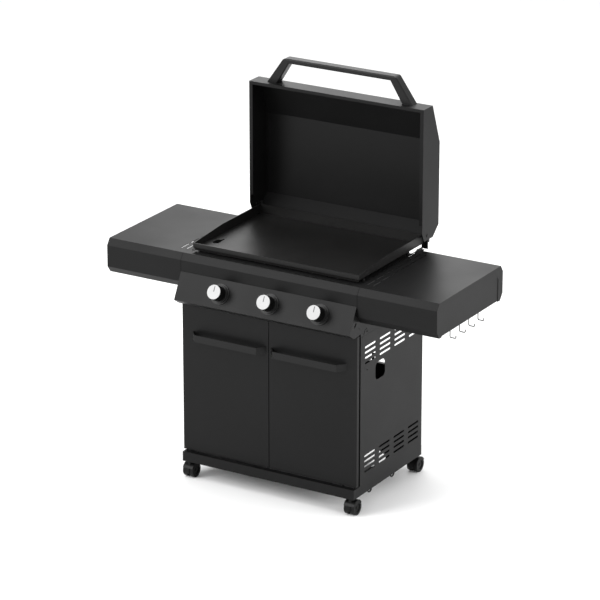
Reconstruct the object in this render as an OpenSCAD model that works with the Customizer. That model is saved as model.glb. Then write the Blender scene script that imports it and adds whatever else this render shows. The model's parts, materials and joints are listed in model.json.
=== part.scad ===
// Outdoor gas griddle station: a cabinet on casters with two side shelves,
// a flat griddle over three burners, and a hinged lid that stands open at the back.
// Millimetres, +Z up, +X to the right of someone facing the controls, -Y towards them.

/* [Station] */
// Overall width over both side shelves
station_w = 1400; // [1300:10:1500]
// Front-to-back depth of the shelves and of the deck
shelf_d = 500; // [480:5:520]
// Height of the worktops above the floor
deck_z = 887; // [860:1:930]
// Width of the middle section, from seam to seam
centre_w = 748.8; // [744:0.4:800]
// Thickness of the folded steel sheet
sheet = 1.5; // [1.2:0.1:1.8]

/* [Shelves] */
// Height of a shelf's front face with both its bevels
shelf_h = 133.5; // [110:0.5:150]
// Front-to-back run of the bevel at the top edges
bevel_run = 17; // [10:0.5:22]
// Drop of the bevel at the top edges
bevel_drop = 25; // [15:0.5:32]
// Front-to-back run of the bevel at the bottom edges
under_run = 19; // [10:0.5:26]
// Rise of the bevel at the bottom edges
under_rise = 25; // [15:0.5:32]
// Thickness of the cap on a shelf's outer end
cap_t = 4; // [3:0.5:6]
// Diameter of the utensil hooks' wire
hook_wire = 4; // [3:0.5:5]
// Outward reach of a utensil hook
hook_reach = 24; // [18:1:30]
// Spacing of the utensil hooks
hook_pitch = 70.6; // [55:0.1:80]

/* [Cabinet] */
// Height of the base pan's skirt
skirt_h = 38; // [32:1:50]
// Diameter of the hole that seats the gas bottle
bottle_hole_d = 250; // [220:2:270]
// Length of a vent slot in the side panels
slot_l = 78; // [60:1:90]
// Height of a vent slot in the side panels
slot_h = 8; // [5:0.5:10]
// Drop of the side panels' upper edge below the worktops
panel_drop = 200; // [194:1:212]
// Height of the back panel above the base pan
back_h = 302; // [240:2:360]

/* [Controls] */
// Height of the front rail that shows above the control panel
rail_face_h = 68; // [60:1:74]
// Drop of the control panel's sloping face
face_drop = 96.8; // [90:0.4:102]
// Forward run of the control panel's sloping face
face_run = 50; // [42:1:56]
// Drop of the control panel's underside
chin_drop = 21; // [16:1:25]
// Distance between neighbouring knobs
knob_pitch = 210.8; // [196:0.4:216]
// Sideways offset of the knobs, which stand in line with the burners' inlets
knob_shift = 22.6; // [0:0.4:30]
// Diameter of a knob
knob_d = 57; // [50:1:62]
// Distance of a knob's cap from the face of the control panel
knob_h = 49; // [44:1:56]
// Diameter of a knob's bezel
bezel_d = 78; // [72:1:84]
// Travel of a knob when it is pushed in
push_travel = 3; // [2:0.5:3.5]

/* [Griddle] */
// Gap between the griddle and the seam on each side
griddle_gap = 22.1; // [21.5:0.1:26]
// Front-to-back depth of the griddle plate
griddle_d = 474; // [464:1:480]
// Height of the griddle's floor above the worktops
griddle_lift = 12; // [11:0.5:14]
// Thickness of the griddle's steel
griddle_t = 3; // [3:0.5:5]
// Height of the griddle's front lip above its floor
lip_h = 18.4; // [14:0.4:22]
// Height of the griddle's rear wall above its floor
wall_h = 35; // [30:1:37]

/* [Lid] */
// Height of the lid's pivot above the worktops
pivot_h = 46; // [45:0.5:50]
// Reach of the lid in front of its pivot
lid_reach = 493.8; // [486:0.2:500]
// Depth of the lid's rim below its pivot when it is closed
rim_drop = 41.7; // [38:0.1:42]
// Height of the lid's upright front face
lid_face_h = 69; // [60:1:74]
// Height of the lid's top above its pivot when it is closed
lid_top = 84; // [78:1:95]
// Run of the slope between the lid's front face and its top
lid_slope_run = 153; // [120:1:180]
// Gap between the griddle and the outside of the lid on each side
lid_gap = 19.9; // [19:0.1:21]
// Height of the handle above the lid's front face
grip_h = 100; // [90:1:115]

/* [Doors] */
// Thickness of a door
door_t = 15; // [13:0.5:17]
// Gap between the two doors
door_gap = 3; // [2:0.5:5]
// Length of a door handle's front bar
pull_l = 268; // [220:2:280]
// Height of a door handle's strip
pull_h = 27; // [22:1:32]
// Distance of a door handle's bar from the door
pull_out = 32; // [28:1:38]

/* [Casters] */
// Overall height of a caster
caster_h = 68; // [66:1:76]
// Diameter of a caster's wheels
wheel_d = 56; // [50:1:56]
// Width of one of a caster's two wheels
wheel_w = 15; // [12:1:16]
// Distance of the wheels' axle behind the swivel axis
trail = 11; // [8:1:13]

/* [Hidden] */
$fn = 48;

// Colours
powder = [0.16, 0.16, 0.165];
powder_dark = [0.1, 0.1, 0.105];
seasoned = [0.07, 0.07, 0.07];
silver = [0.88, 0.88, 0.88];
stainless = [0.62, 0.62, 0.6];
brass = [0.72, 0.56, 0.28];
ceramic = [0.92, 0.9, 0.85];
rubber = [0.06, 0.06, 0.06];

// Clearances shared by several pieces
cut = 1; // overrun of a cut past the face it opens
gap = 0.3; // space between pieces that don't touch
fit = 0.05; // radial clearance of a pin in its bore

// Side planes
end_x = station_w / 2;
seam_x = centre_w / 2;
body_inset = 4.4; // cabinet inside the seam
body_x = seam_x - body_inset;
panel_inset = 1.4; // control panel and doors inside the seam
panel_x = seam_x - panel_inset;
griddle_x = seam_x - griddle_gap;
lid_x = griddle_x + lid_gap;
deck_gap = 1.7; // deck strip beside the griddle
deck_x = griddle_x + deck_gap;

// Levels
base_z = caster_h;
floor_z = base_z + skirt_h;
rail_z = deck_z - rail_face_h;
face_z = rail_z - face_drop;
chin_z = face_z - chin_drop;
panel_z = deck_z - panel_drop;
griddle_z = deck_z + griddle_lift;
pivot_z = deck_z + pivot_h;
seam_gap = 0.6; // seam between a side panel and its side rail

// Depths, from the front face of the shelves
rear_y = shelf_d;
skirt_front = 9.3; // skirt in front of the shelves' face
skirt_rear_y = rear_y + sheet;
rail_lip = 1.3; // control panel in front of the front rail
web_y = 17; // front edge of the side rails above the doors
post_y = 36; // front edge of the side panels
griddle_y = 52;
griddle_rear_y = griddle_y + griddle_d;
hinge_setback = 2; // pivot in front of the griddle's rear
pivot_y = griddle_rear_y - hinge_setback;

// The sloping control panel
face_tilt = atan(face_run / face_drop);
face_mid_y = -rail_lip - face_run / 2;
face_mid_z = rail_z - face_drop / 2;
chin_run = 32; // front-to-back run of the underside's slope
knob_x = [for (i = [-1:1]) i * knob_pitch + knob_shift];

// The origin is on the floor, under the middle of everything
hook_x = end_x - cap_t - hook_wire / 2 - gap;
right_most = hook_x + hook_reach + hook_wire / 2;
front_most = face_mid_y - knob_h * cos(face_tilt) - knob_d / 2 * sin(face_tilt);
rear_most = pivot_y + lid_top;
shift = [-(right_most - end_x) / 2, -(front_most + rear_most) / 2, 0];

module station() {
    translate(shift) children();
}

// A block between two corners
module block(lo, hi) {
    translate(lo) cube(hi - lo);
}

// An outline in Y and Z, extruded from x0 to x1
module along_x(x0, x1) {
    translate([x0, 0, 0]) rotate([90, 0, 90]) linear_extrude(x1 - x0) children();
}

// An outline in X and Z, extruded from y0 to y1
module along_y(y0, y1) {
    translate([0, y1, 0]) rotate([90, 0, 0]) linear_extrude(y1 - y0) children();
}

// A cylinder along X or Y
module rod_x(from, l, r) {
    translate(from) rotate([0, 90, 0]) cylinder(r = r, h = l);
}
module rod_y(from, l, r) {
    translate(from) rotate([-90, 0, 0]) cylinder(r = r, h = l);
}

// The right-hand shape as it is, or mirrored to the left
module on_side(side) {
    mirror([side < 0 ? 1 : 0, 0, 0]) children();
}

// A folded sheet: a path, and the same path moved to its left by the thickness
function unit(v) = v / norm(v);
function left_of(v) = [-v[1], v[0]];
function mitre(a, b, c, t) =
    let (n = left_of(unit(b - a)), m = n + left_of(unit(c - b)))
    b + m * t / (m * n);
function moved(p, t) = [
    for (i = [0:len(p) - 1])
        i == 0 ? p[0] + left_of(unit(p[1] - p[0])) * t
        : i == len(p) - 1 ? p[i] + left_of(unit(p[i] - p[i - 1])) * t
        : mitre(p[i - 1], p[i], p[i + 1], t)
];
module folded(p, t) {
    q = moved(p, t);
    polygon(concat(p, [for (i = [len(q) - 1:-1:0]) q[i]]));
}
function arc(c, r, a0, a1, n) = [
    for (i = [0:n]) c + r * [cos(a0 + (a1 - a0) * i / n), sin(a0 + (a1 - a0) * i / n)]
];

// A slot with round ends, centred, its length along the first axis
module slot(l, w) {
    square([l - w, w], center = true);
    for (s = [-1, 1]) translate([s * (l - w) / 2, 0]) circle(d = w, $fn = 24);
}

// A rectangle with round corners, from one corner to the other
module rounded(lo, hi, r) {
    translate(lo + [r, 0]) square([hi[0] - lo[0] - 2 * r, hi[1] - lo[1]]);
    translate(lo + [0, r]) square([hi[0] - lo[0], hi[1] - lo[1] - 2 * r]);
    for (x = [lo[0] + r, hi[0] - r], y = [lo[1] + r, hi[1] - r])
        translate([x, y]) circle(r, $fn = 32);
}

// Doors, and the pins that they turn on
door_face_y = 5.5;
door_lift = 6; // doors above the base pan
door_drop = 3; // doors below the control panel
door_z = floor_z + door_lift;
door_top_z = chin_z - door_drop;
door_pin_r = 4;
door_pin_grip = 10; // length of a pin inside its door
door_pin_in = 11; // pins inside the doors' outer edges
door_pin_x = panel_x - door_pin_in;
door_pin_y = door_face_y + door_t / 2;
pin_block_w = 20;
pin_block_h = 18;
pull_t = 3; // thickness of a handle's strip
pull_flare = 26; // sideways run of a handle's slanted ends
pull_in = 9; // handles from the middle of the station
pull_drop = 109; // handles below the doors' upper edge

module door(side) {
    inner = [door_gap / 2, door_face_y, door_z];
    outer = [panel_x, door_face_y + door_t, door_top_z];
    block_x = panel_x - sheet - pin_block_w;
    color(powder) station() on_side(side) difference() {
        union() {
            difference() {
                block(inner, outer);
                block(inner + [sheet, sheet, sheet], outer + [-sheet, cut, -sheet]);
            }
            for (z = [door_z + sheet / 2, door_top_z - sheet / 2 - pin_block_h])
                block([block_x, door_face_y + sheet / 2, z],
                      [panel_x - sheet / 2, door_face_y + door_t, z + pin_block_h]);
        }
        for (z = [door_z - cut, door_top_z - door_pin_grip - cut])
            translate([door_pin_x, door_pin_y, z])
                cylinder(r = door_pin_r + fit, h = door_pin_grip + 2 * cut);
    }
}

module door_handle(side) {
    front = door_face_y - pull_out;
    top = door_top_z - pull_drop;
    over = pull_t * pull_flare / pull_out;
    far = pull_in + 2 * pull_flare + pull_l;
    color(powder_dark) station() on_side(side) translate([0, 0, top - pull_h])
        linear_extrude(pull_h) difference() {
            folded([
                [pull_in - over, door_face_y + pull_t],
                [pull_in + pull_flare, front],
                [far - pull_flare, front],
                [far + over, door_face_y + pull_t],
            ], pull_t);
            translate([0, door_face_y]) square([panel_x, door_t]);
        }
}

// Base pan, with the casters' sockets and the doors' lower pins
caster_in_x = 21; // swivel axes inside the cabinet's sides
caster_in_y = 18; // swivel axes inside the skirt's front and rear
stem_r = 5.5;
socket_r = 9;
socket_lift = 4; // sockets above the skirt's lower edge
caster_x = body_x - caster_in_x;
caster_front_y = caster_in_y - skirt_front;
caster_rear_y = skirt_rear_y - caster_in_y;
bottle_in = 170; // bottle's hole from the cabinet's side
bottle_at = [body_x - bottle_in, 275];
bottle_lip = 8; // turned-down edge of the bottle's hole
rest_in = 60; // nubs that the doors rest over, from the doors' outer edges
rest_x = panel_x - rest_in;
rest_r = 4;

module base_pan() {
    front = -skirt_front;
    color(powder) station() difference() {
        union() {
            difference() {
                block([-body_x, front, base_z], [body_x, skirt_rear_y, floor_z]);
                block([-body_x + sheet, front + sheet, base_z - cut],
                      [body_x - sheet, skirt_rear_y - sheet, floor_z - sheet]);
            }
            for (x = [-caster_x, caster_x], y = [caster_front_y, caster_rear_y])
                translate([x, y, base_z + socket_lift])
                    cylinder(r = socket_r, h = skirt_h - socket_lift - sheet / 2);
            translate([bottle_at[0], bottle_at[1], floor_z - bottle_lip])
                cylinder(d = bottle_hole_d + 2 * sheet, h = bottle_lip - sheet / 2, $fn = 96);
            for (s = [-1, 1]) {
                translate([s * door_pin_x, door_pin_y, floor_z - sheet])
                    cylinder(r = door_pin_r, h = sheet + door_lift + door_pin_grip);
                translate([s * rest_x, door_pin_y, floor_z - sheet])
                    cylinder(r = rest_r, h = sheet + door_lift - gap);
            }
        }
        translate([bottle_at[0], bottle_at[1], floor_z - bottle_lip - cut])
            cylinder(d = bottle_hole_d, h = bottle_lip + 2 * cut, $fn = 96);
        for (x = [-caster_x, caster_x], y = [caster_front_y, caster_rear_y])
            translate([x, y, base_z]) cylinder(r = stem_r + fit, h = skirt_h - sheet);
    }
}

// Two wire loops under the pan, beside the bottle's hole
loop_in = 25; // loops inside the cabinet's side
loop_x = body_x - loop_in;
loop_y = [152, 322];
loop_r = 14;
loop_wire = 6;
loop_drop = 32; // loops below the skirt

module bottle_loops() {
    bend_z = base_z - loop_drop + loop_wire / 2 + loop_r;
    color(powder_dark) station() for (y = loop_y) {
        for (s = [-1, 1])
            translate([loop_x, y + s * loop_r, bend_z])
                cylinder(d = loop_wire, h = floor_z - sheet - bend_z);
        translate([loop_x, y, bend_z]) rotate([90, 0, 90]) rotate([0, 0, 180])
            rotate_extrude(angle = 180) translate([loop_r, 0]) circle(d = loop_wire);
    }
}

// Side panels, with vent slots in columns and rows
flange = 15; // inward return along an edge
slot_rows = 4;
slot_columns = 4;
slot_row_pitch = 20.4;
slot_column_pitch = 109.4;
slot_start_y = 67.5;
upper_slot_drop = 48; // uppermost slots below the panel's upper edge
lower_slot_lift = 107.5; // lower group's uppermost slots above the base pan
hand_at = [145, -202]; // hand hole's corner, from the panel's upper edge
hand_size = [71, 70];
hand_r = 20;
screw_r = 3;
side_hole_at = [83, -138];

module vent_slots(top) {
    for (c = [0:slot_columns - 1], r = [0:slot_rows - 1])
        translate([slot_start_y + slot_l / 2 + c * slot_column_pitch, top - r * slot_row_pitch])
            slot(slot_l, slot_h);
}

module side_panel(side, with_hand_hole) {
    top = [0, panel_z];
    color(powder) station() on_side(side) {
        along_x(body_x - sheet, body_x) difference() {
            translate([post_y, floor_z]) square([rear_y - post_y, panel_z - floor_z]);
            vent_slots(panel_z - upper_slot_drop);
            vent_slots(floor_z + lower_slot_lift);
            if (with_hand_hole) {
                rounded(top + hand_at, top + hand_at + hand_size, hand_r);
                translate(top + side_hole_at) circle(screw_r);
            }
        }
        for (y = [post_y, rear_y - 2 * sheet])
            block([body_x - flange, y, floor_z], [body_x - sheet / 2, y + sheet, panel_z]);
    }
}

// Side rails: the strip above a side panel, and the deck strip beside the griddle
deck_flange_y = 44; // front end of the deck strips
deck_slot_l = 54;
deck_slot_w = 4;
deck_slot_pitch = 68;
deck_slot_in = 6.5; // from the deck strip's inner edge
deck_slot_x = deck_x + deck_slot_in;
deck_slot_y = 57;
deck_slots = 6;
cam_y = 81; // quarter-round slot and its hole
cam_r = 24;
cam_w = 3;
cam_turn = [90, 170]; // degrees
cam_hole_lift = 12;
rail_hole_at = [21.7, 39]; // from the rail's lower edge
hole_r = 3.5;

module side_rail(side) {
    low = panel_z + seam_gap;
    cam = [cam_y, low];
    color(powder) station() on_side(side) {
        along_x(body_x - sheet, body_x) difference() {
            polygon([
                [post_y, low], [rear_y, low], [rear_y, deck_z - sheet],
                [web_y + sheet, deck_z - sheet], [web_y, deck_z - 2 * sheet],
                [web_y, chin_z], [post_y, chin_z],
            ]);
            polygon(concat(arc(cam, cam_r + cam_w / 2, cam_turn[0], cam_turn[1], 8),
                           arc(cam, cam_r - cam_w / 2, cam_turn[1], cam_turn[0], 8)));
            translate(cam + [0, cam_hole_lift]) circle(hole_r);
            translate([rail_hole_at[0], low + rail_hole_at[1]]) circle(screw_r);
        }
        block([body_x - flange, post_y, low], [body_x - sheet / 2, rear_y, low + sheet]);
        translate([0, 0, deck_z - sheet]) linear_extrude(sheet) difference() {
            translate([deck_x, deck_flange_y])
                square([seam_x - gap - deck_x, rear_y - deck_flange_y]);
            for (i = [0:deck_slots - 1])
                translate([deck_slot_x, deck_slot_y + deck_slot_l / 2 + i * deck_slot_pitch])
                    rotate(90) slot(deck_slot_l, deck_slot_w);
        }
    }
}

// Back panel, open above, with a hook tab on its upper edge
tab_x = 160;
tab_w = 12;
tab_h = 30;

module back_panel() {
    top = floor_z + back_h;
    half = body_x - sheet;
    color(powder) station() {
        block([-half, rear_y - sheet, floor_z], [half, rear_y, top]);
        block([-body_x + flange + gap, rear_y - flange, top - sheet],
              [body_x - flange - gap, rear_y - sheet / 2, top]);
        block([tab_x - tab_w / 2, rear_y - sheet, top - sheet], [tab_x + tab_w / 2, rear_y, top + tab_h]);
    }
}

// Crossbar that ties the side rails together at the back
crossbar_lift = 60; // above the side panels
crossbar_h = 50;
crossbar_d = 20;

module rear_crossbar() {
    low = panel_z + crossbar_lift;
    color(powder) station() along_x(-body_x + sheet, body_x - sheet) folded([
        [rear_y - crossbar_d, low], [rear_y, low],
        [rear_y, low + crossbar_h], [rear_y - crossbar_d, low + crossbar_h],
    ], sheet);
}

// Header over the doors, with their upper pins
header_t = 3;
header_y = 2;
header_fold_h = 20;
header_z = chin_z + sheet;

module door_header() {
    half = body_x - sheet;
    color(powder) station() {
        block([-half, header_y, header_z], [half, post_y, header_z + header_t]);
        block([-half, post_y - sheet, header_z], [half, post_y, header_z + header_fold_h]);
        for (s = [-1, 1])
            translate([s * door_pin_x, door_pin_y, door_top_z - door_pin_grip])
                cylinder(r = door_pin_r, h = header_z + header_t - door_top_z + door_pin_grip);
    }
}

// Front rail: the bevelled edge in front of the griddle, with a row of vents
rail_tuck = 4; // rail behind the control panel's upper edge
rail_return = 12;
dash_l = 24;
dash_w = 4;
dash_pitch = 36.5;
dash_margin = 40; // least distance of a vent's middle from the seam
dashes = 2 * floor((seam_x - dash_margin) / dash_pitch) + 1;
dash_y = 27;

module front_rail() {
    half = seam_x - gap;
    color(powder) station() difference() {
        along_x(-half, half) folded([
            [deck_flange_y, deck_z], [bevel_run, deck_z], [0, deck_z - bevel_drop],
            [0, rail_z - rail_tuck], [rail_return, rail_z - rail_tuck],
        ], sheet);
        translate([0, dash_y, deck_z - sheet - cut]) linear_extrude(sheet + 2 * cut)
            for (i = [0:dashes - 1])
                translate([(i - (dashes - 1) / 2) * dash_pitch, 0]) slot(dash_l, dash_w);
    }
}

// Control panel: a sloping face folded under, with closed ends
stem_hole_r = 8;
pin_hole_r = 6;
end_slot_at = [-9.5, -69.4]; // from the upper edge of the face
end_slot_l = 20;
end_slot_w = 8;
end_slot_turn = 50;
chin_rear_y = web_y - rail_lip / 2;

// Places its children on the control panel at x, with +Z out of its face
module at_face(x) {
    translate([x, face_mid_y, face_mid_z]) rotate([90 - face_tilt, 0, 0]) children();
}

module control_panel() {
    face = [
        [0, rail_z], [-rail_lip, rail_z], [-rail_lip - face_run, face_z],
        [-rail_lip - face_run + chin_run, chin_z], [chin_rear_y, chin_z],
    ];
    ends = concat(face, [[chin_rear_y, rail_z - rail_tuck], [0, rail_z - rail_tuck]]);
    color(powder) station() difference() {
        union() {
            along_x(-panel_x, panel_x) folded(face, sheet);
            for (x = [-panel_x, panel_x - sheet]) along_x(x, x + sheet) difference() {
                polygon(ends);
                translate([0, rail_z] + end_slot_at) rotate(end_slot_turn) slot(end_slot_l, end_slot_w);
            }
        }
        for (x = knob_x) at_face(x)
            translate([0, 0, -sheet - cut]) cylinder(r = stem_hole_r, h = sheet + 2 * cut);
        for (s = [-1, 1])
            translate([s * door_pin_x, door_pin_y, chin_z - cut])
                cylinder(r = pin_hole_r, h = sheet + 2 * cut);
    }
}

// Firebox, hung by its rim under the deck, with rests for the burners
fire_hold = 4; // rim under the deck strips
fire_rim = 20;
fire_x = deck_x + fire_hold - fire_rim;
fire_y = 62;
fire_rear_y = 440;
fire_lift = 26; // firebox above the side panels
fire_z = panel_z + fire_lift;
fire_front_rim = 32;
burner_in = 127.2; // middle of an outer burner inside the firebox's side
burner_x = [for (i = [-1:1]) i * (fire_x - burner_in)];
rest_w = 8;
rest_t = 3;
rest_y = [110, 390];
tube_r = 12.7;
inlet_r = 11;
igniter_r = 4;
valve_w = 26;
valve_l = 38;
valve_back = 50; // rear end of a valve behind the face
valve_mid = valve_back - valve_l / 2;
burner_z = face_mid_z - valve_mid * sin(face_tilt);
tube_spread = 55; // long tubes from the middle of a burner
igniter_gap = 2; // igniters above the burners
igniter_z = burner_z + tube_r + igniter_gap + igniter_r;

module firebox() {
    top = deck_z - sheet;
    color(powder_dark) station() {
        difference() {
            union() {
                block([-fire_x, fire_y, fire_z], [fire_x, fire_rear_y, top]);
                block([-fire_x - fire_rim, fire_y - fire_front_rim, top - sheet],
                      [fire_x + fire_rim, fire_rear_y, top]);
            }
            block([-fire_x + sheet, fire_y + sheet, fire_z - cut],
                  [fire_x - sheet, fire_rear_y - sheet, top + cut]);
            for (x = knob_x)
                rod_y([x, fire_y - cut, burner_z], sheet + 2 * cut, inlet_r + gap);
            for (x = burner_x)
                rod_y([x - tube_spread, fire_y - cut, igniter_z], sheet + 2 * cut, igniter_r + gap);
        }
        for (y = rest_y)
            block([-fire_x + sheet / 2, y - rest_w / 2, burner_z - tube_r - gap - rest_t],
                  [fire_x - sheet / 2, y + rest_w / 2, burner_z - tube_r - gap]);
    }
}

// Heat shield between the firebox and the cabinet
shield_z = panel_z + seam_gap + sheet;

module heat_shield() {
    half = body_x - sheet - gap;
    color(stainless) station() difference() {
        block([-half, post_y, shield_z], [half, rear_y - 2 * sheet, shield_z + sheet]);
        block([chute_lo[0] - gap, chute_lo[1] - gap, shield_z - cut],
              [chute_hi[0] + gap, chute_hi[1] + gap, shield_z + sheet + cut]);
    }
}

// Side shelves: deep pans, open below, with vents beside the griddle
under_z = deck_z - shelf_h;
shelf_lip = 15;
vent_l = deck_slot_l;
vent_w = deck_slot_w;
vent_pitch = deck_slot_pitch;
vents = deck_slots;
vent_at = [10.6, 33.6]; // rows from the seam

function shelf_outline() = [
    [under_run, under_z], [0, under_z + under_rise], [0, deck_z - bevel_drop],
    [bevel_run, deck_z], [rear_y - bevel_run, deck_z], [rear_y, deck_z - bevel_drop],
    [rear_y, under_z + under_rise], [rear_y - under_run, under_z],
];

module shelf(side) {
    skin = concat([[under_run + shelf_lip, under_z]], shelf_outline(),
                  [[rear_y - under_run - shelf_lip, under_z]]);
    color(powder) station() on_side(side) difference() {
        union() {
            along_x(seam_x, end_x - cap_t) folded(skin, -sheet);
            along_x(seam_x, seam_x + sheet) polygon(shelf_outline());
        }
        translate([seam_x, 0, deck_z - sheet - cut]) linear_extrude(sheet + 2 * cut)
            for (x = vent_at, i = [0:vents - 1])
                translate([x, deck_slot_y + vent_l / 2 + i * vent_pitch]) rotate(90) slot(vent_l, vent_w);
    }
}

// Caps on the shelves' outer ends, with a recessed field open at the bottom
field_t = 1.5; // depth of the field
field_margin = 36;
field_r = 14;
field_lift = 3.2; // field's lower edge above the cap's

module shelf_cap(side) {
    color(powder) station() on_side(side) difference() {
        along_x(end_x - cap_t, end_x) polygon(shelf_outline());
        along_x(end_x - field_t, end_x + cut)
            rounded([field_margin, under_z - 2 * field_r],
                    [rear_y - field_margin, deck_z - field_margin], field_r);
        block([end_x - cap_t - cut, field_margin, under_z - cut],
              [end_x + cut, rear_y - field_margin, under_z + field_lift]);
    }
}

// Utensil hooks under the right shelf's outer end
hook_y = 110.5;
hooks = 4;
hook_bend = 5;
hook_drop = 25; // wire's lowest run below the shelf
hook_tip = 11;
hook_top = 20; // wire inside the shelf

module quarter_bend(r, wire, turn) {
    rotate([90, 0, 0]) rotate([0, 0, turn])
        rotate_extrude(angle = 90) translate([r, 0]) circle(d = wire, $fn = 24);
}

module utensil_hooks() {
    low = under_z - hook_drop;
    color(silver) station() for (i = [0:hooks - 1])
        translate([hook_x, hook_y + i * hook_pitch, low]) {
            translate([0, 0, hook_bend])
                cylinder(d = hook_wire, h = hook_drop + hook_top - hook_bend, $fn = 24);
            translate([hook_bend, 0, hook_bend]) quarter_bend(hook_bend, hook_wire, 180);
            translate([hook_bend, 0, 0]) rotate([0, 90, 0])
                cylinder(d = hook_wire, h = hook_reach - 2 * hook_bend, $fn = 24);
            translate([hook_reach - hook_bend, 0, hook_bend]) quarter_bend(hook_bend, hook_wire, 270);
            translate([hook_reach, 0, hook_bend])
                cylinder(d = hook_wire, h = hook_tip - hook_bend, $fn = 24);
        }
}

// Griddle plate: a flat floor, a front lip, and side walls that rise to the rear wall
kink_share = 0.43; // of the depth, where the side walls become level
griddle_edge_r = 5; // outer edges under the walls
rib_t = 3;
rib_gap = 5;
rib_lift = 0.6; // rib above the deck
drain_in = 27; // drain from the griddle's left side
drain_from = 81; // drain from the griddle's front
drain_size = [26, 46];
notch_w = 8;
notch_l = 14;
notch_in = 2; // notch from the drain's side
spout_t = 2;
spout_h = 6;

module drain(grow) {
    lo = [-griddle_x + drain_in, griddle_y + drain_from];
    hi = lo + drain_size;
    translate((lo + hi) / 2) rotate(90) slot(drain_size[1] + 2 * grow, drain_size[0] + 2 * grow);
    translate([hi[0] - notch_w / 2 - notch_in, hi[1]])
        rotate(90) slot(2 * (notch_l + grow), notch_w + 2 * grow);
}

module griddle_tray() {
    low = griddle_z - griddle_t;
    top = griddle_z + wall_h;
    intersection() {
        union() {
            block([-griddle_x, griddle_y, low], [griddle_x, griddle_rear_y, griddle_z]);
            block([-griddle_x, griddle_y, low], [griddle_x, griddle_y + griddle_t, griddle_z + lip_h]);
            block([-griddle_x, griddle_rear_y - griddle_t, low], [griddle_x, griddle_rear_y, top]);
            for (x = [-griddle_x, griddle_x - griddle_t]) along_x(x, x + griddle_t) polygon([
                [griddle_y, low], [griddle_rear_y, low], [griddle_rear_y, top],
                [griddle_y + kink_share * griddle_d, top], [griddle_y, griddle_z + lip_h],
            ]);
        }
        along_x(-griddle_x, griddle_x)
            rounded([griddle_y, low], [griddle_rear_y, top + 2 * griddle_edge_r], griddle_edge_r);
        along_y(griddle_y, griddle_rear_y)
            rounded([-griddle_x, low], [griddle_x, top + 2 * griddle_edge_r], griddle_edge_r);
    }
}

module griddle_plate() {
    low = griddle_z - griddle_t;
    rib = [fire_x - sheet - rib_gap, fire_y + sheet + rib_gap, fire_rear_y - sheet - rib_gap];
    color(seasoned) station() difference() {
        union() {
            griddle_tray();
            difference() {
                block([-rib[0], rib[1], deck_z + rib_lift], [rib[0], rib[2], low + griddle_t / 2]);
                block([-rib[0] + rib_t, rib[1] + rib_t, deck_z],
                      [rib[0] - rib_t, rib[2] - rib_t, low + griddle_t]);
            }
            translate([0, 0, low - spout_h]) linear_extrude(spout_h + griddle_t / 2) drain(spout_t);
        }
        translate([0, 0, low - spout_h - cut]) linear_extrude(spout_h + griddle_t + 2 * cut) drain(0);
    }
}

foot_r = 7;
foot_in = 5; // feet inside the firebox's rim
foot_x = fire_x + fire_rim - foot_r - foot_in;
foot_y = [92, 420];

module griddle_feet() {
    color(stainless) station() for (x = [-foot_x, foot_x], y = foot_y)
        translate([x, y, deck_z - sheet]) cylinder(r = foot_r, h = griddle_lift - griddle_t + sheet);
}

// Burners: an inlet in line with its knob, a cross tube and two long tubes
inlet_y = 40;
inlet_wall = 1.5;
inlet_depth = 60;
cross_y = 250;
tube_y = [95, 405];

module burner(i) {
    mid = burner_x[i];
    color(stainless) station() difference() {
        union() {
            rod_y([knob_x[i], inlet_y, burner_z], cross_y - inlet_y, inlet_r);
            rod_x([mid - tube_spread, cross_y, burner_z], 2 * tube_spread, inlet_r);
            for (s = [-1, 1])
                rod_y([mid + s * tube_spread, tube_y[0], burner_z], tube_y[1] - tube_y[0], tube_r);
        }
        rod_y([knob_x[i], inlet_y - cut, burner_z], inlet_depth + cut, inlet_r - inlet_wall);
    }
}

igniter_front = 25; // igniters in front of the firebox
igniter_l = 62;
spark_r = 1;
spark_l = 12;

module igniters() {
    color(ceramic) station() for (x = burner_x) {
        rod_y([x - tube_spread, fire_y - igniter_front, igniter_z], igniter_l, igniter_r);
        rod_y([x - tube_spread, fire_y - igniter_front, igniter_z], igniter_l + spark_l, spark_r);
    }
}

// Gas manifold with its inlet on the right, and a valve for each burner
pipe_r = 11;
pipe_wall = 1.5;
pipe_depth = 40; // pipe behind the face
pipe_drop = valve_w / 2 + pipe_r + 2 * fit;
pipe_y = face_mid_y - pipe_drop * sin(face_tilt) + pipe_depth * cos(face_tilt);
pipe_z = face_mid_z - pipe_drop * cos(face_tilt) - pipe_depth * sin(face_tilt);
pipe_end = 40; // pipe past the outer knobs
nipple_r = 7.94;
nipple_bore_r = 4.5;
nipple_l = 16;
bracket_at = [-100, 100];
bracket_t = 3;
nozzle_r = 4;
nozzle_tip_y = inlet_y + 8;
plug_r = 7;
plug_l = 32;
shaft_r = 4;
shaft_end = 38; // shaft in front of the face
flat_l = 30;
flat_depth = 1.5;

module manifold() {
    left = knob_x[0] - pipe_end;
    right = knob_x[2] + pipe_end;
    color(stainless) station() difference() {
        union() {
            rod_x([left, pipe_y, pipe_z], right - left, pipe_r);
            rod_x([right, pipe_y, pipe_z], nipple_l, nipple_r);
            for (x = bracket_at)
                block([x, header_y, header_z + header_t], [x + bracket_t, pipe_y + pipe_r, pipe_z]);
        }
        rod_x([left + pipe_wall, pipe_y, pipe_z], right - left - 2 * pipe_wall, pipe_r - pipe_wall);
        rod_x([right - 2 * pipe_wall, pipe_y, pipe_z], nipple_l + 2 * pipe_wall + cut, nipple_bore_r);
    }
}

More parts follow.
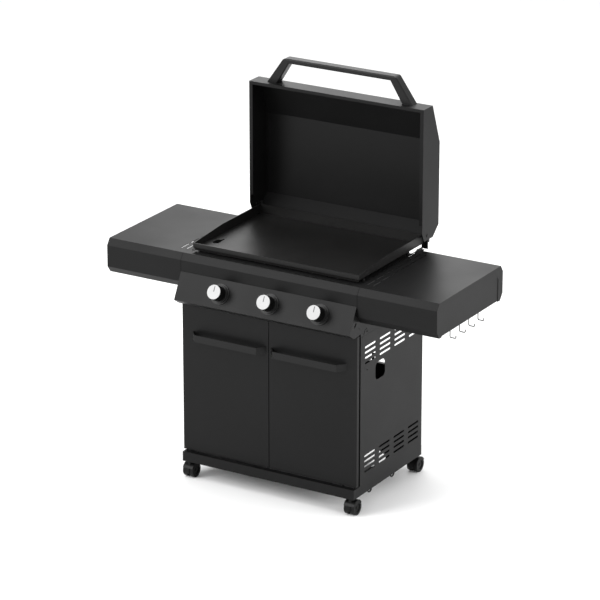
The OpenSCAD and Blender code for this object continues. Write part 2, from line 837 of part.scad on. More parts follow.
module valve(i) {
    half = valve_w / 2;
    color(brass) station() difference() {
        union() {
            at_face(knob_x[i]) block([-half, -half, -valve_back], [half, half, valve_l - valve_back]);
            translate([knob_x[i], face_mid_y + valve_mid * cos(face_tilt), burner_z]) rotate([-90, 0, 0])
                cylinder(r = nozzle_r, h = nozzle_tip_y - face_mid_y - valve_mid * cos(face_tilt));
        }
        at_face(knob_x[i]) translate([0, 0, -valve_back + valve_l - plug_l - gap])
            cylinder(r = plug_r + fit, h = plug_l + gap + cut);
    }
}

module valve_stem(i) {
    plug_top = valve_l - valve_back - gap;
    color(stainless) station() at_face(knob_x[i]) difference() {
        union() {
            translate([0, 0, plug_top + gap - plug_l]) cylinder(r = plug_r, h = plug_l - gap);
            translate([0, 0, plug_top - plug_l / 2])
                cylinder(r = shaft_r, h = shaft_end - plug_top + plug_l / 2);
        }
        block([-shaft_r, shaft_r - flat_depth, shaft_end - flat_l],
              [shaft_r, shaft_r + cut, shaft_end + cut]);
    }
}

// Knobs with silver caps, and their stepped bezels
knob_back = 13;
knob_taper = 0.5;
cap_h = 2;
cap_in = 1; // cap inside the knob's edge
hub_r = 9;
hub_back = 5;
bezel_h = 4;
bezel_step_h = 9;
bezel_step_in = 5;
bezel_bore_r = 12;

module knob(i) {
    color(powder_dark) station() at_face(knob_x[i]) difference() {
        union() {
            translate([0, 0, knob_back])
                cylinder(r1 = knob_d / 2, r2 = knob_d / 2 - knob_taper, h = knob_h - cap_h - knob_back);
            translate([0, 0, hub_back]) cylinder(r = hub_r, h = knob_back - hub_back + cut);
        }
        difference() {
            translate([0, 0, hub_back - cut])
                cylinder(r = shaft_r + fit, h = shaft_end + push_travel + 2 * cut - hub_back);
            block([-shaft_r, shaft_r - flat_depth + fit, shaft_end - flat_l + push_travel + cut],
                  [shaft_r, shaft_r + cut, knob_h]);
        }
    }
}

module knob_cap(i) {
    color(silver) station() at_face(knob_x[i])
        translate([0, 0, knob_h - cap_h]) cylinder(r = knob_d / 2 - knob_taper - cap_in, h = cap_h);
}

module knob_bezels() {
    color(powder_dark) station() for (x = knob_x) at_face(x) difference() {
        union() {
            cylinder(d = bezel_d, h = bezel_h);
            cylinder(d = bezel_d - 2 * bezel_step_in, h = bezel_step_h);
        }
        translate([0, 0, -cut]) cylinder(r = bezel_bore_r, h = bezel_step_h + 2 * cut);
    }
}

// Grease: a chute under the drain, and a cup that slides on two rails
chute_margin = [9, 12];
chute_lo = [-griddle_x + drain_in, griddle_y + drain_from] - chute_margin;
chute_hi = [-griddle_x + drain_in, griddle_y + drain_from] + drain_size + [0, notch_l] + chute_margin;
chute_top = deck_z - 4;
chute_drop = 10; // chute below the heat shield
chute_flange = 8; // front and rear flanges
chute_side_flange = 2;
cup_shift = 9.3; // cup's middle to the right of the chute's
cup_x = (chute_lo[0] + chute_hi[0]) / 2 + cup_shift;
cup_w = 86;
cup_l = 100;
cup_h = 66;
cup_y = 112;
cup_rim = 6;
cup_t = 1.5;
cup_drop = 10; // cup below the chute
cup_top = shield_z - chute_drop - cup_drop;
rail_l = 110;
ledge_w = 4;
rail_foot_w = 12;

module grease_chute() {
    low = shield_z - chute_drop;
    top = shield_z + sheet;
    color(stainless) station() difference() {
        union() {
            block([chute_lo[0], chute_lo[1], low], [chute_hi[0], chute_hi[1], chute_top]);
            block([chute_lo[0] - chute_side_flange, chute_lo[1] - chute_flange, top],
                  [chute_hi[0] + chute_side_flange, chute_hi[1] + chute_flange, top + sheet]);
        }
        block([chute_lo[0] + sheet, chute_lo[1] + sheet, low - cut],
              [chute_hi[0] - sheet, chute_hi[1] - sheet, chute_top + cut]);
    }
}

module grease_rails() {
    edge = cup_w / 2 + cup_rim + gap;
    color(stainless) station() for (s = [-1, 1]) {
        top = s < 0 ? shield_z - sheet : shield_z;
        translate([cup_x, 0, 0]) on_side(s) along_y(cup_y - cup_rim, cup_y - cup_rim + rail_l) folded([
            [edge - ledge_w, cup_top - cup_t - gap], [edge, cup_top - cup_t - gap],
            [edge, top], [edge + rail_foot_w, top],
        ], -sheet);
    }
}

module grease_cup() {
    lo = [cup_x - cup_w / 2, cup_y, cup_top - cup_h];
    hi = [cup_x + cup_w / 2, cup_y + cup_l, cup_top];
    color(stainless) station() difference() {
        union() {
            block(lo, hi);
            block([lo[0] - cup_rim, lo[1] - cup_rim, cup_top - cup_t],
                  [hi[0] + cup_rim, hi[1] + cup_rim, cup_top]);
        }
        block(lo + [cup_t, cup_t, cup_t], hi + [-cup_t, -cup_t, cut]);
    }
}

// Lid, in its open place. A point is given as it lies when the lid is closed:
// its distance in front of the pivot, and its height above the pivot.
end_t = 2.2; // thickness of the lid's end plates
rim_w = 12;
rim_start = 48; // end plates' rim in front of the pivot
lid_back = 16.5; // lid behind the pivot
lid_corner = [39, 43]; // run up the lid's back and along its top
vent_edge = 14; // lower edge of the lid's back above the pivot
ear_h = 24; // ears below the pivot
ear_chamfer = [7.5, 6];
ear_front = 17;
hinge_pin_r = 4;

function lid_point(ahead, above) = [pivot_y + above, pivot_z + ahead];
function lid_crown() = [
    lid_point(lid_reach, -rim_drop),
    lid_point(lid_reach, -rim_drop + lid_face_h),
    lid_point(lid_reach - lid_slope_run, lid_top),
    lid_point(lid_corner[0] - lid_back, lid_top),
    lid_point(-lid_back, lid_top - lid_corner[1]),
];

module lid_shell() {
    skin = concat([lid_point(lid_reach - rim_w, -rim_drop)], lid_crown(),
                  [lid_point(-lid_back, vent_edge)]);
    color(powder) station() along_x(-lid_x + end_t, lid_x - end_t) folded(skin, -sheet);
}

module lid_end(side) {
    inside = lid_x - end_t;
    rim_lo = lid_point(rim_start, -rim_drop);
    rim_hi = lid_point(lid_reach - rim_w, -rim_drop + sheet);
    color(powder) station() on_side(side) {
        along_x(inside, lid_x) difference() {
            polygon(concat(lid_crown(), [
                lid_point(-lid_back, -ear_h),
                lid_point(-lid_back + ear_chamfer[0], -ear_h - ear_chamfer[1]),
                lid_point(ear_front, -rim_drop),
            ]));
            translate(lid_point(0, 0)) circle(hinge_pin_r + fit);
        }
        block([inside - rim_w, rim_lo[0], rim_lo[1]], [inside + end_t / 2, rim_hi[0], rim_hi[1]]);
    }
}

// Handle on the lid's front face: a bar with rounded edges on two leaning legs,
// which are wider at the foot and meet the bar at mitres
grip_in = 62.2; // feet inside the lid's sides
grip_half = lid_x - grip_in;
grip_foot = 44; // width of a foot
grip_knee = 36.7; // width of a leg where it meets the bar
grip_lean = 70.9; // ends of the bar inside the feet
grip_bar = 18.5;
grip_d = 40;
grip_edge_r = 5;
grip_bend_r = 24;
grip_back = 11; // handle behind the middle of the lid's front face
grip_far = 2 * (grip_half + grip_h); // past every end of the handle

// All that lies on one side of a slanting line through a foot's edge, w wide, with rounded edges
module grip_side(foot_x, lean, w) {
    translate([foot_x, 0, 0]) rotate([0, -lean, 0]) translate([0, 0, -grip_far]) linear_extrude(2 * grip_far)
        rounded([min(w, 0), -grip_d / 2], [max(w, 0), grip_d / 2], grip_edge_r);
}

// All that lies between two heights, with rounded edges
module grip_level(low, high) {
    translate([-grip_far, 0, 0]) rotate([90, 0, 90]) linear_extrude(2 * grip_far)
        rounded([-grip_d / 2, low], [grip_d / 2, high], grip_edge_r);
}

module lid_handle() {
    inner_z = grip_h - grip_bar;
    outer_lean = atan(grip_lean / grip_h);
    inner_knee_x = grip_half - grip_lean * inner_z / grip_h - grip_knee;
    inner_lean = atan((grip_half - grip_foot - inner_knee_x) / inner_z);
    bend = [grip_half - grip_lean - grip_bend_r * tan((90 - outer_lean) / 2), grip_h - grip_bend_r];
    color(powder_dark) station()
        translate([0, pivot_y - rim_drop + lid_face_h / 2 + grip_back, pivot_z + lid_reach]) intersection() {
            grip_level(grip_h - grip_far, grip_h);
            on_side(1) grip_side(grip_half, outer_lean, -grip_far);
            on_side(-1) grip_side(grip_half, outer_lean, -grip_far);
            union() {
                grip_level(inner_z, inner_z + grip_far);
                for (s = [-1, 1]) on_side(s) grip_side(grip_half - grip_foot, inner_lean, grip_far);
            }
            along_y(-grip_d, grip_d) polygon(concat(
                [[grip_half, 0]], arc(bend, grip_bend_r, outer_lean, 90, 6),
                [for (q = arc(bend, grip_bend_r, 90, outer_lean, 6)) [-q[0], q[1]]], [[-grip_half, 0]]
            ));
        }
}

// Hinge brackets: an upright plate behind each rear corner of the griddle, with the lid's
// pin on a forward arm, the stop's seat, and a web that runs to a foot under the deck strip
hinge_t = 3; // thickness of the brackets' steel
bracket_out = 2.6; // brackets inside the lid's end plates
bracket_w = 21.5;
upright_back = 10.7; // upright plate behind the pivot
upright_drop = 10.3; // its lower edge below the worktops
arm_in = 9; // arm inside the lid's end plates
boss_r = 11;
collar_r = 8;
pin_head_r = 7;
pin_head_t = 1.5;
foot_front = 38; // foot in front of the pivot
stop_size = [12, 11, 11.3];
stop_gap = gap;

module hinge_brackets() {
    right = lid_x - end_t - bracket_out;
    left = right - bracket_w;
    arm = lid_x - end_t - arm_in;
    low = deck_z - upright_drop;
    back = pivot_y + upright_back;
    under = deck_z - sheet;
    ledge = pivot_z - lid_back - stop_gap - stop_size[2];
    color(powder) station() for (s = [-1, 1]) on_side(s) {
        along_x(left, left + hinge_t) polygon([
            [pivot_y - foot_front, low], [pivot_y - foot_front, under - hinge_t / 2],
            [griddle_rear_y + gap, under - hinge_t / 2], [griddle_rear_y + gap, pivot_z - collar_r],
            [back + hinge_t / 2, pivot_z - collar_r], [back + hinge_t / 2, low],
        ]);
        block([left, back, low], [right, back + hinge_t, pivot_z + boss_r]);
        block([left, pivot_y - foot_front, under - hinge_t], [right, rear_y, under]);
        block([right - stop_size[0], back, ledge - hinge_t], [right, back + hinge_t + stop_size[1], ledge]);
        along_x(arm, arm + hinge_t) union() {
            translate([pivot_y, pivot_z - boss_r]) square([upright_back + hinge_t / 2, 2 * boss_r]);
            translate([pivot_y, pivot_z]) circle(boss_r);
        }
        rod_x([arm, pivot_y, pivot_z], lid_x + gap + pin_head_t - arm, hinge_pin_r);
        rod_x([arm, pivot_y, pivot_z], arm_in - gap, collar_r);
        rod_x([lid_x + gap, pivot_y, pivot_z], pin_head_t, pin_head_r);
    }
}

module lid_stops() {
    right = lid_x - end_t - bracket_out;
    back = pivot_y + upright_back + hinge_t;
    top = pivot_z - lid_back - stop_gap;
    color(rubber) station() for (s = [-1, 1]) on_side(s)
        block([right - stop_size[0], back + gap, top - stop_size[2]], [right, back + stop_size[1], top]);
}

// Casters: a hood that swivels on its stem, over two wheels on one axle
web_w = 12; // hood's web between the wheels
wheel_gap = 0.5;
crown_gap = 1.3;
crown_t = 2.2;
crown_lift = 12; // crown's lower edges above the axle
web_low = 10; // web below the axle
neck_r = 9;
axle_r = 3;
axle_z = wheel_d / 2;
crown_r = wheel_d / 2 + crown_gap + crown_t;
crown_half = web_w / 2 + wheel_gap + wheel_w;
dish_r_share = 0.64; // of the wheel's radius
dish_depth = 3;
hub_share = 0.22; // of the wheel's radius

module caster(x, y) {
    neck_top = base_z + socket_lift - gap;
    color(powder_dark) station() translate([x, y, 0]) {
        difference() {
            union() {
                intersection() {
                    rod_x([-crown_half, trail, axle_z], 2 * crown_half, crown_r);
                    block([-crown_half, trail - crown_r, axle_z + crown_lift],
                          [crown_half, trail + crown_r, axle_z + crown_r]);
                }
            }
            rod_x([-crown_half - cut, trail, axle_z], 2 * (crown_half + cut), crown_r - crown_t);
        }
        difference() {
            union() {
                intersection() {
                    rod_x([-web_w / 2, trail, axle_z], web_w, crown_r - crown_t / 2);
                    block([-web_w / 2, trail - crown_r, axle_z - web_low],
                          [web_w / 2, trail + crown_r, axle_z + crown_r]);
                }
                block([-web_w / 2, -neck_r, axle_z + crown_lift], [web_w / 2, 0, axle_z + crown_r]);
            }
            rod_x([-web_w, trail, axle_z], 2 * web_w, axle_r + fit);
        }
        translate([0, 0, axle_z + crown_r - crown_t])
            cylinder(r = neck_r, h = neck_top - axle_z - crown_r + crown_t);
        translate([0, 0, axle_z + crown_r]) cylinder(r = stem_r, h = floor_z - 2 * sheet - axle_z - crown_r);
    }
}

module wheels(x, y) {
    r = wheel_d / 2;
    color(rubber) station() translate([x, y + trail, axle_z]) {
        for (s = [-1, 1]) on_side(s) {
            difference() {
                rod_x([web_w / 2 + wheel_gap, 0, 0], wheel_w, r);
                rod_x([crown_half - dish_depth, 0, 0], dish_depth + cut, r * dish_r_share);
            }
            rod_x([crown_half - dish_depth - cut, 0, 0], dish_depth, r * hub_share);
        }
        rod_x([-web_w / 2 - wheel_gap, 0, 0], web_w + 2 * wheel_gap, axle_r);
    }
}

base_pan();
bottle_loops();
side_panel(-1, false);  // side_panel_left
side_panel(1, true);  // side_panel_right
side_rail(-1);  // side_rail_left
side_rail(1);  // side_rail_right
back_panel();
rear_crossbar();
door_header();
front_rail();
control_panel();
firebox();
heat_shield();
shelf(-1);  // shelf_left
shelf(1);  // shelf_right
shelf_cap(-1);  // shelf_cap_left
shelf_cap(1);  // shelf_cap_right
utensil_hooks();
griddle_plate();
griddle_feet();
burner(0);  // burner_left
burner(1);  // burner_middle
burner(2);  // burner_right
igniters();
manifold();
valve(0);  // valve_left
valve(1);  // valve_middle
valve(2);  // valve_right
valve_stem(0);  // valve_stem_left
valve_stem(1);  // valve_stem_middle
valve_stem(2);  // valve_stem_right
knob(0);  // knob_left
knob(1);  // knob_middle
knob(2);  // knob_right
knob_cap(0);  // knob_cap_left
knob_cap(1);  // knob_cap_middle
knob_cap(2);  // knob_cap_right
knob_bezels();
grease_chute();
grease_rails();
grease_cup();
lid_shell();
lid_end(-1);  // lid_end_left
lid_end(1);  // lid_end_right
lid_handle();
hinge_brackets();
lid_stops();
door(-1);  // door_left
door(1);  // door_right
door_handle(-1);  // door_handle_left
door_handle(1);  // door_handle_right
caster(-caster_x, caster_front_y);  // caster_front_left
caster(caster_x, caster_front_y);  // caster_front_right
caster(-caster_x, caster_rear_y);  // caster_rear_left
caster(caster_x, caster_rear_y);  // caster_rear_right
wheels(-caster_x, caster_front_y);  // wheels_front_left
wheels(caster_x, caster_front_y);  // wheels_front_right
wheels(-caster_x, caster_rear_y);  // wheels_rear_left
wheels(caster_x, caster_rear_y);  // wheels_rear_right
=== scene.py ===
"""Looks, light and camera for the outdoor gas griddle station, in metres."""

import json
import math

import bmesh
import bpy
from mathutils import Matrix, Vector


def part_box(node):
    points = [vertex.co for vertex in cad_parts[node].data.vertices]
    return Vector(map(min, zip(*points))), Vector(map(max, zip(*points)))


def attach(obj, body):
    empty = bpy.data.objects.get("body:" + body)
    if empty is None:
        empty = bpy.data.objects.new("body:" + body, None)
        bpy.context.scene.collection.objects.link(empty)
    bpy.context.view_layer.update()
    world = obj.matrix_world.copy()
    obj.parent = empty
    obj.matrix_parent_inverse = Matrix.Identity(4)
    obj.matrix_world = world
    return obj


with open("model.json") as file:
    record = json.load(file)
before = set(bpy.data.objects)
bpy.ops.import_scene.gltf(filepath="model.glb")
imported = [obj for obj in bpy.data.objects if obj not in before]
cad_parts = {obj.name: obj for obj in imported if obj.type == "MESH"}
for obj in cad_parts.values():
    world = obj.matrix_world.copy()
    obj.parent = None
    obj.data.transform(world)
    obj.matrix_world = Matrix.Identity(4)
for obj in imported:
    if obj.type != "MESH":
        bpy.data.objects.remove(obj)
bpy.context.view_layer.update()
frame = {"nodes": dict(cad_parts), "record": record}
nodes = frame["nodes"]

# Camera, as fitted to the photograph's edges, with its angles in degrees
VIEW_AZIMUTH = 30.80236
VIEW_ELEVATION = 20.02827
VIEW_DISTANCE = 12.70216
VIEW_RIGHT = -0.010722
VIEW_UP = 0.121209
VIEW_TARGET = Vector((-0.00985, -0.0125427, 0.568))
VIEW_END = 100.0
FOCAL_PX = 3420.355
PHOTO_PX = 600
SENSOR_MM = 36.0

# Materials: the grey of the powder coat, and the middle range that noise is spread from
POWDER_LEVEL = 0.0052
NOISE_LOW = 0.3
NOISE_HIGH = 0.7

# A smooth mesh keeps an edge sharp above this angle, in degrees
SHARP_ANGLE = 35.0

# Sloping face of the control panel, and the pointer printed on each knob's cap
FACE_RUN = 0.05
FACE_DROP = 0.0968
CAP_H = 0.002
INDEX_W = 0.003
INDEX_H = 0.0001
INDEX_FROM = 0.001  # from the cap's centre
INDEX_TO = 0.022

# Gas inlet on the manifold's right end, with its thread
INLET_R = 0.00794
INLET_AXIS = Vector((0, -0.264364, 0.730831))
THREAD_PITCH = 0.001411
THREAD_TURNS = 9
THREAD_START = 0.0015  # between the inlet's end and the first ridge
THREAD_FOOT_SHARE = 0.4  # half of the ridge's foot, as a share of the pitch
THREAD_RISE = 0.00025
THREAD_ROOT = 0.00005  # the ridge's foot is sunk into the inlet
THREAD_STEPS = 24

# Stiffening strip under the griddle's front edge
STRIP_IN = 0.005  # behind the griddle's front edge, and inside its side edges
STRIP_T = 0.003
STRIP_H = 0.0072
STRIP_ROUND = 0.001
STRIP_STEPS = 4

# Front rail, and the painted shade in the joints at its ends
BEVEL_RUN = 0.017
BEVEL_DROP = 0.025
PANEL_LAP = 0.005  # the control panel's upper edge in front of the rail's foot
SEAM_W = 0.0015
SEAM_RISE = 0.0001
SEAM_ROOT = 0.00005

# Floor and surroundings
FLOOR_SIZE = 60.0
FLOOR_LEVEL = 0.92
WORLD_LEVEL = 1.0

# Soft boxes: name, place, point that it faces, width and height, watts
LAMPS = (
    ("key", (-1.5, 2.5, 5.0), (0, 0, 0.8), (4, 4), 90),
    ("fill", (-2.9, -4.2, 3.6), (0, 0, 0.8), (2.6, 2.6), 142),
    ("front", (-0.3, -1.3, 3.1), (0, 0.3, 1.1), (1.6, 1.0), 20),
    ("low", (-2.2, -3.6, 1.7), (0, 0.2, 1.25), (1.8, 0.8), 20),
    ("side", (4.6, 0.8, 1.6), (0.3, 0, 0.6), (2, 2), 96),
    ("rear", (-1.4, 3.4, 2.3), (0, 0.2, 0.9), (2.6, 1.6), 23),
)


def view_axes():
    """The camera's right, up and backward directions."""
    azimuth = math.radians(VIEW_AZIMUTH)
    elevation = math.radians(VIEW_ELEVATION)
    level = math.cos(elevation)
    back = Vector((math.sin(azimuth) * level, -math.cos(azimuth) * level, math.sin(elevation)))
    right = Vector((math.cos(azimuth), math.sin(azimuth), 0))
    return right, back.cross(right), back


def make_camera():
    right, up, back = view_axes()
    data = bpy.data.cameras.new("camera")
    data.sensor_width = SENSOR_MM
    data.lens = FOCAL_PX / PHOTO_PX * SENSOR_MM
    data.clip_end = VIEW_END
    camera = bpy.data.objects.new("camera", data)
    bpy.context.scene.collection.objects.link(camera)
    turn = Matrix((right, up, back)).transposed().to_4x4()
    place = VIEW_TARGET + right * VIEW_RIGHT + up * VIEW_UP + back * VIEW_DISTANCE
    camera.matrix_world = Matrix.Translation(place) @ turn
    bpy.context.scene.camera = camera


# Materials


class Shader:
    """A node material: a Principled shader with a few helpers to feed it."""

    def __init__(self, name, color, rough, metallic=0.0, specular=0.5):
        self.material = bpy.data.materials.new(name)
        self.material.use_nodes = True
        self.tree = self.material.node_tree
        self.bsdf = self.tree.nodes["Principled BSDF"]
        self.bsdf.inputs["Base Color"].default_value = (*color, 1)
        self.bsdf.inputs["Roughness"].default_value = rough
        self.bsdf.inputs["Metallic"].default_value = metallic
        self.bsdf.inputs["Specular IOR Level"].default_value = specular
        self.place = self.node("ShaderNodeTexCoord").outputs["Object"]

    def node(self, kind):
        return self.tree.nodes.new(kind)

    def link(self, source, target):
        self.tree.links.new(source, target)

    def stretched(self, scale):
        mapping = self.node("ShaderNodeMapping")
        mapping.inputs["Scale"].default_value = scale
        self.link(self.place, mapping.inputs["Vector"])
        return mapping.outputs["Vector"]

    def noise(self, scale, detail=2, rough=0.5, place=None):
        made = self.node("ShaderNodeTexNoise")
        made.inputs["Scale"].default_value = scale
        made.inputs["Detail"].default_value = detail
        made.inputs["Roughness"].default_value = rough
        self.link(place or self.place, made.inputs["Vector"])
        return made.outputs["Fac"]

    def vary_rough(self, value, low, high):
        """Spreads a noise's middle range over low..high as the roughness."""
        spread = self.node("ShaderNodeMapRange")
        spread.inputs["From Min"].default_value = NOISE_LOW
        spread.inputs["From Max"].default_value = NOISE_HIGH
        spread.inputs["To Min"].default_value = low
        spread.inputs["To Max"].default_value = high
        self.link(value, spread.inputs["Value"])
        self.link(spread.outputs["Result"], self.bsdf.inputs["Roughness"])

    def vary_color(self, value, low, high):
        """Spreads a noise's middle range over two colours."""
        ramp = self.node("ShaderNodeValToRGB")
        ends = zip(ramp.color_ramp.elements, (NOISE_LOW, NOISE_HIGH), (low, high))
        for element, position, color in ends:
            element.position = position
            element.color = (*color, 1)
        self.link(value, ramp.inputs["Fac"])
        self.link(ramp.outputs["Color"], self.bsdf.inputs["Base Color"])

    def bump(self, value, strength, depth):
        made = self.node("ShaderNodeBump")
        made.inputs["Strength"].default_value = strength
        made.inputs["Distance"].default_value = depth
        self.link(value, made.inputs["Height"])
        self.link(made.outputs["Normal"], self.bsdf.inputs["Normal"])


def grey(level):
    return (level, level, level)


def powder_coat(name, level, rough, specular):
    """Fine matt powder coat: a tight orange-peel grain, with slight mottling."""
    shader = Shader(name, grey(level), rough, specular=specular)
    grain = shader.noise(scale=900, detail=3)
    mottle = shader.noise(scale=5, detail=3)
    cool = (level * 1.08, level * 1.08, level * 1.1)
    shader.vary_color(mottle, low=grey(level * 0.92), high=cool)
    shader.vary_rough(mottle, low=rough - 0.03, high=rough + 0.03)
    shader.bump(grain, strength=0.12, depth=0.0002)
    return shader.material


def seasoned_steel():
    """Rolled plate under baked oil: long faint mill lines and soft patches."""
    shader = Shader("griddle_steel", (0.005, 0.0049, 0.0048), rough=0.42, specular=0.26)
    patches = shader.noise(scale=7, detail=4, rough=0.6)
    lines = shader.noise(scale=60, detail=3, place=shader.stretched((0.15, 6, 1)))
    shader.vary_color(patches, low=(0.004, 0.0039, 0.0038), high=(0.006, 0.0058, 0.0056))
    shader.vary_rough(patches, low=0.39, high=0.45)
    shader.bump(lines, strength=0.06, depth=0.0003)
    return shader.material


def formed_steel(name, level, rough, stretch=(1, 1, 14)):
    """Plain steel with fine drawn lines."""
    shader = Shader(name, grey(level), rough, metallic=1.0)
    lines = shader.noise(scale=220, detail=3, place=shader.stretched(stretch))
    smudge = shader.noise(scale=14, detail=3)
    shader.vary_color(smudge, low=grey(level * 0.88), high=grey(level))
    shader.vary_rough(smudge, low=rough - 0.06, high=rough + 0.08)
    shader.bump(lines, strength=0.08, depth=0.0002)
    return shader.material


def moulded(name, level, rough, specular=0.4):
    """Moulded plastic or rubber with a faint spark-eroded grain."""
    shader = Shader(name, grey(level), rough, specular=specular)
    grain = shader.noise(scale=1400)
    cloud = shader.noise(scale=30)
    shader.vary_color(cloud, low=grey(level * 0.9), high=grey(level * 1.1))
    shader.vary_rough(cloud, low=rough - 0.04, high=rough + 0.04)
    shader.bump(grain, strength=0.1, depth=0.0001)
    return shader.material


def pale_cap():
    """Satin silver paint on the knobs' caps."""
    shader = Shader("knob_cap", grey(0.41), rough=0.35, specular=0.4)
    turned = shader.noise(scale=500)
    shader.vary_color(shader.noise(scale=40), low=grey(0.4), high=grey(0.42))
    shader.vary_rough(turned, low=0.3, high=0.4)
    shader.bump(turned, strength=0.03, depth=0.0001)
    return shader.material


def glazed():
    """Glazed ceramic of the igniters, faintly speckled."""
    shader = Shader("ceramic", (0.8, 0.78, 0.72), rough=0.2)
    specks = shader.noise(scale=300)
    shader.vary_color(specks, low=(0.74, 0.72, 0.66), high=(0.84, 0.82, 0.77))
    shader.vary_rough(specks, low=0.15, high=0.28)
    shader.bump(shader.noise(scale=60), strength=0.05, depth=0.0002)
    return shader.material


def machined_brass():
    """Machined brass of the valves, slightly stained."""
    shader = Shader("brass", (0.62, 0.43, 0.17), rough=0.3, metallic=1.0)
    stain = shader.noise(scale=40, detail=3)
    shader.vary_color(stain, low=(0.5, 0.34, 0.13), high=(0.64, 0.45, 0.19))
    shader.vary_rough(stain, low=0.24, high=0.42)
    shader.bump(shader.noise(scale=400), strength=0.06, depth=0.0001)
    return shader.material


# One finish for each material slot
finishes = {
    "powder_coat": powder_coat("powder_coat", POWDER_LEVEL, rough=0.42, specular=0.14),
    "dark_coat": powder_coat("dark_coat", 0.006, rough=0.4, specular=0.2),
    "griddle_steel": seasoned_steel(),
    "bare_steel": formed_steel("bare_steel", 0.26, rough=0.42),
    "wire": formed_steel("wire", 0.1, rough=0.25, stretch=(1, 1, 4)),
    "brass": machined_brass(),
    "ceramic": glazed(),
    "knob_body": moulded("knob_body", 0.003, rough=0.38, specular=0.08),
    "knob_cap": pale_cap(),
    "rubber": moulded("rubber", 0.02, rough=0.75, specular=0.25),
    "caster_body": moulded("caster_body", 0.005, rough=0.35, specular=0.14),
    "wheel": moulded("wheel", 0.005, rough=0.45, specular=0.14),
}
index_ink = moulded("index_ink", 0.04, rough=0.5)
# Near-black finish for the strips painted as shade in the joint gaps at the front rail's ends
seam_shadow = moulded("seam_shadow", 0.001, rough=0.85, specular=0.03)

# Nodes that look different from the rest of their slot
own_looks = {
    "knob_bezels": moulded("bezel", 0.009, rough=0.42, specular=0.26),
    "griddle_feet": finishes["dark_coat"],
}
slot_of = {row["node"]: row["material_slot"] for row in frame["record"]["subparts"]}
for name, node in nodes.items():
    node.data.materials.clear()
    node.data.materials.append(own_looks.get(name, finishes[slot_of[name]]))


# Added pieces


def piece(name, mesh, body, finish):
    """Links a mesh as an object that rides on a body."""
    made = bpy.data.objects.new(name, mesh)
    bpy.context.scene.collection.objects.link(made)
    made.data.materials.append(finish)
    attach(made, body)


def swept(name, rings, smooth=True):
    """Makes a mesh of rings of points joined one to the next, with flat ends."""
    bm = bmesh.new()
    made = [[bm.verts.new(point) for point in ring] for ring in rings]
    bm.faces.new(made[0][::-1])
    bm.faces.new(made[-1])
    for near, far in zip(made, made[1:]):
        for here in range(len(near)):
            following = (here + 1) % len(near)
            bm.faces.new((near[here], near[following], far[following], far[here]))
    bmesh.ops.recalc_face_normals(bm, faces=bm.faces)
    mesh = bpy.data.meshes.new(name)
    bm.to_mesh(mesh)
    bm.free()
    if smooth:
        for polygon in mesh.polygons:
            polygon.use_smooth = True
        mesh.set_sharp_from_angle(angle=math.radians(SHARP_ANGLE))
    return mesh


def face_frame(cap):
    """The frame of a knob: centred on its cap's outer face, +Y up the slope, +Z out of it."""
    low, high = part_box(cap)
    middle = (low + high) / 2
    tilt = math.atan(FACE_RUN / FACE_DROP)
    out = Vector((0, -math.cos(tilt), math.sin(tilt)))
    up = Vector((0, math.sin(tilt), math.cos(tilt)))
    turn = Matrix((Vector((1, 0, 0)), up, out)).transposed().to_4x4()
    return Matrix.Translation(middle + out * CAP_H / 2) @ turn


def index_line(side):
    """The printed pointer on a knob's cap, a very thin raised bar."""
    place = face_frame("knob_cap_" + side)
    half = INDEX_W / 2
    corners = ((-half, INDEX_FROM), (half, INDEX_FROM), (half, INDEX_TO), (-half, INDEX_TO))
    rings = [[place @ Vector((x, y, z)) for x, y in corners] for z in (0, INDEX_H)]
    name = "index_line_" + side
    piece(name, swept(name, rings, smooth=False), side + "_knob", index_ink)


def inlet_thread():
    """The ridge of the thread on the gas inlet, wound from its end towards the pipe."""
    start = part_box("manifold")[1].x - THREAD_START
    foot = THREAD_PITCH * THREAD_FOOT_SHARE
    root = INLET_R - THREAD_ROOT
    section = ((-foot, root), (0, INLET_R + THREAD_RISE), (foot, root))
    rings = []
    for step in range(THREAD_TURNS * THREAD_STEPS + 1):
        turn = 2 * math.pi * step / THREAD_STEPS
        middle = start - foot - THREAD_PITCH * step / THREAD_STEPS
        rings.append([
            INLET_AXIS + Vector((middle + x, radius * math.cos(turn), radius * math.sin(turn)))
            for x, radius in section
        ])
    mesh = swept("inlet_thread", rings)
    piece("inlet_thread", mesh, "chassis", finishes["bare_steel"])


def front_strip():
    """The stiffening strip under the griddle's front edge, with a rounded foot."""
    low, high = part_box("griddle_plate")
    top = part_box("griddle_feet")[1].z
    front = low.y + STRIP_IN
    foot = top - STRIP_H
    section = [(front, top)]
    for step in range(STRIP_STEPS + 1):
        turn = math.pi / 2 * step / STRIP_STEPS
        section.append((
            front + STRIP_ROUND - STRIP_ROUND * math.cos(turn),
            foot + STRIP_ROUND - STRIP_ROUND * math.sin(turn),
        ))
    section += [(front + STRIP_T, foot), (front + STRIP_T, top)]
    ends = (low.x + STRIP_IN, high.x - STRIP_IN)
    mesh = swept("griddle_front_strip", [[Vector((x, y, z)) for y, z in section] for x in ends])
    piece("griddle_front_strip", mesh, "chassis", finishes["griddle_steel"])


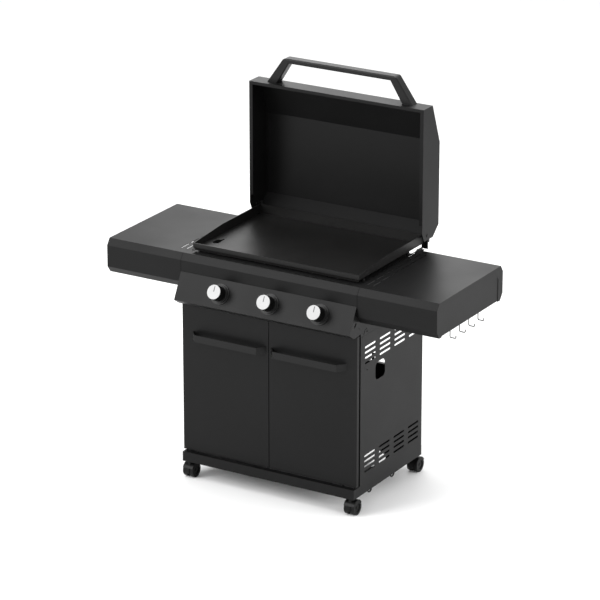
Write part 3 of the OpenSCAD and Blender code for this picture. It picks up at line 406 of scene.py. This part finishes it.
def seam_shade_line(side, x):
    """A near-black strip painted as the shade in the joint between the front rail and a shelf,
    down the bevel and the front face.
    """
    low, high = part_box("front_rail")
    face_out = Vector((0, -1, 0))
    bevel_out = Vector((0, -BEVEL_DROP, BEVEL_RUN)).normalized()
    spine = (
        (Vector((x, low.y + BEVEL_RUN, high.z)), bevel_out),
        (Vector((x, low.y, high.z - BEVEL_DROP)), (bevel_out + face_out).normalized()),
        (Vector((x, low.y, low.z + PANEL_LAP)), face_out),
    )
    across = Vector((SEAM_W / 2, 0, 0))
    rings = []
    for point, out in spine:
        inner = point - out * SEAM_ROOT
        outer = point + out * SEAM_RISE
        rings.append([inner - across, inner + across, outer + across, outer - across])
    name = "seam_shade_line_" + side
    piece(name, swept(name, rings, smooth=False), "chassis", seam_shadow)


# Light, floor and backdrop


def make_floor():
    mesh = bpy.data.meshes.new("floor")
    half = FLOOR_SIZE / 2
    corners = [(-half, -half, 0), (half, -half, 0), (half, half, 0), (-half, half, 0)]
    mesh.from_pydata(corners, [], [range(len(corners))])
    floor = bpy.data.objects.new("floor", mesh)
    bpy.context.scene.collection.objects.link(floor)
    shader = Shader("floor", grey(FLOOR_LEVEL), rough=0.9, specular=0.1)
    floor.data.materials.append(shader.material)


def make_world():
    world = bpy.data.worlds.new("world")
    world.use_nodes = True
    background = world.node_tree.nodes["Background"]
    background.inputs["Color"].default_value = (1, 1, 1, 1)
    background.inputs["Strength"].default_value = WORLD_LEVEL
    bpy.context.scene.world = world


def soft_box(name, place, aim, size, watts):
    data = bpy.data.lights.new(name, "AREA")
    data.shape = "RECTANGLE"
    data.size, data.size_y = size
    data.energy = watts
    lamp = bpy.data.objects.new(name, data)
    bpy.context.scene.collection.objects.link(lamp)
    lamp.location = place
    lamp.rotation_euler = (Vector(aim) - Vector(place)).to_track_quat("-Z", "Y").to_euler()


make_camera()
for side in ("left", "middle", "right"):
    index_line(side)
inlet_thread()
front_strip()
# Painted shade lines along the joints at both ends of the front rail
seam_shade_line("left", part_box("front_rail")[0].x)
seam_shade_line("right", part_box("front_rail")[1].x)
make_floor()
make_world()
for lamp in LAMPS:
    soft_box(*lamp)

bpy.context.scene.view_settings.view_transform = "Standard"
